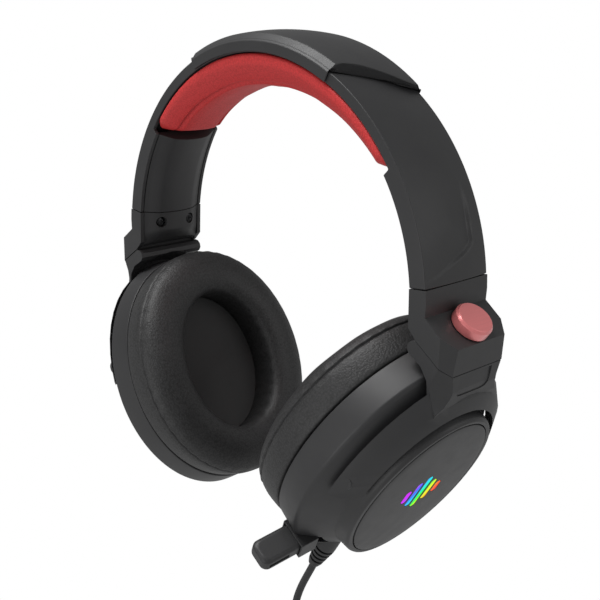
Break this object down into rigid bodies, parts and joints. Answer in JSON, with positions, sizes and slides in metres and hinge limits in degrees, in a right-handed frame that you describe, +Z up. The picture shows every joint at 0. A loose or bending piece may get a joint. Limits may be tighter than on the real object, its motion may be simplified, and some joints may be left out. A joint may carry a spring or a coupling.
{
  "type": "gaming headset",
  "caption": "Over-ear gaming headset with a telescoping headband, swivelling yokes, tilting oval ear cups, a pull-out microphone bar and a coiled USB cable.",
  "frame": {"origin": "centre of the wearer's head, midway between the two ear openings", "axes": "+Z up as worn, +X towards the wearer's left ear, -Y towards the face"},
  "size_m": [0.2054, 0.0962, 0.3594],
  "materials": {
    "black_plastic": "matte",
    "inner_plastic": "matte",
    "leatherette": "satin",
    "red_pad": "matte",
    "red_metal": "satin",
    "steel": "brushed",
    "screw_steel": "satin",
    "cloth": "woven",
    "board": "satin",
    "light": "frosted",
    "cable_rubber": "satin"
  },
  "bodies": {
    "headband": {"headband_shell": "black_plastic", "crown_cover": "black_plastic", "headband_pad": "red_pad", "pad_base": "inner_plastic", "spring_band": "steel", "left_band_liner": "black_plastic", "right_band_liner": "black_plastic"},
    "left_arm": {"left_arm_cover": "black_plastic", "left_arm_inner_cover": "black_plastic", "left_slider_strip": "steel", "left_arm_screw_front": "screw_steel", "left_arm_screw_rear": "screw_steel"},
    "left_yoke": {"left_yoke": "black_plastic", "left_swivel_pin": "steel", "left_swivel_cap": "red_metal"},
    "left_cup": {"left_cup_shell": "black_plastic", "left_cup_plate": "black_plastic", "left_emblem": "light", "left_led_board": "board", "left_baffle": "inner_plastic", "left_driver": "steel", "left_ear_cushion": "leatherette", "left_scrim": "cloth", "left_tilt_pin_front": "steel", "left_tilt_pin_rear": "steel", "mic_port": "black_plastic", "audio_board": "board", "strain_relief": "cable_rubber", "cable": "cable_rubber", "cable_coil": "cable_rubber", "cable_tie": "cable_rubber", "usb_plug_body": "cable_rubber", "usb_plug_shell": "steel"},
    "microphone": {"mic_head": "black_plastic", "mic_stem": "cable_rubber"},
    "volume_wheel": {"volume_wheel": "black_plastic"},
    "mute_button": {"mute_button": "black_plastic"},
    "right_arm": {"right_arm_cover": "black_plastic", "right_arm_inner_cover": "black_plastic", "right_slider_strip": "steel", "right_arm_screw_front": "screw_steel", "right_arm_screw_rear": "screw_steel"},
    "right_yoke": {"right_yoke": "black_plastic", "right_swivel_pin": "steel", "right_swivel_cap": "red_metal"},
    "right_cup": {"right_cup_shell": "black_plastic", "right_cup_plate": "black_plastic", "right_emblem": "light", "right_led_board": "board", "right_baffle": "inner_plastic", "right_driver": "steel", "right_ear_cushion": "leatherette", "right_scrim": "cloth", "right_tilt_pin_front": "steel", "right_tilt_pin_rear": "steel"}
  },
  "joints": [
    {"name": "left_size_slide", "type": "slide", "parent": "headband", "child": "left_arm", "axis": [0.1141, 0, -0.9935], "range_m": [0, 0.022]},
    {"name": "left_yoke_swivel", "type": "hinge", "parent": "left_arm", "child": "left_yoke", "pos_m": [0.0943, 0, 0.0475], "axis": [0.5736, 0, 0.8191], "range_deg": [-15, 15]},
    {"name": "left_cup_tilt", "type": "hinge", "parent": "left_yoke", "child": "left_cup", "pos_m": [0.07573, -0.00073, -0.00833], "axis": [0.0357, 0.999, -0.025], "range_deg": [-8, 1]},
    {"name": "mic_extend", "type": "slide", "parent": "left_cup", "child": "microphone", "axis": [-0.1643, -0.966, -0.1997], "range_m": [0, 0.035]},
    {"name": "volume_turn", "type": "hinge", "parent": "left_cup", "child": "volume_wheel", "pos_m": [0.04258, 0.02934, -0.03779], "axis": [0.8644, -0.0435, -0.501], "range_deg": [-135, 135]},
    {"name": "mute_press", "type": "slide", "parent": "left_cup", "child": "mute_button", "axis": [0.409, -0.5188, 0.7507], "range_m": [0, 0.0008], "stiffness_N_per_m": 600, "springref_m": -0.0002},
    {"name": "right_size_slide", "type": "slide", "parent": "headband", "child": "right_arm", "axis": [-0.1141, 0, -0.9935], "range_m": [0, 0.022]},
    {"name": "right_yoke_swivel", "type": "hinge", "parent": "right_arm", "child": "right_yoke", "pos_m": [-0.0943, 0, 0.0475], "axis": [-0.5736, 0, 0.8191], "range_deg": [-15, 15]},
    {"name": "right_cup_tilt", "type": "hinge", "parent": "right_yoke", "child": "right_cup", "pos_m": [-0.07573, -0.00073, -0.00833], "axis": [0.0357, -0.999, 0.025], "range_deg": [-4.5, 4.5]}
  ]
}
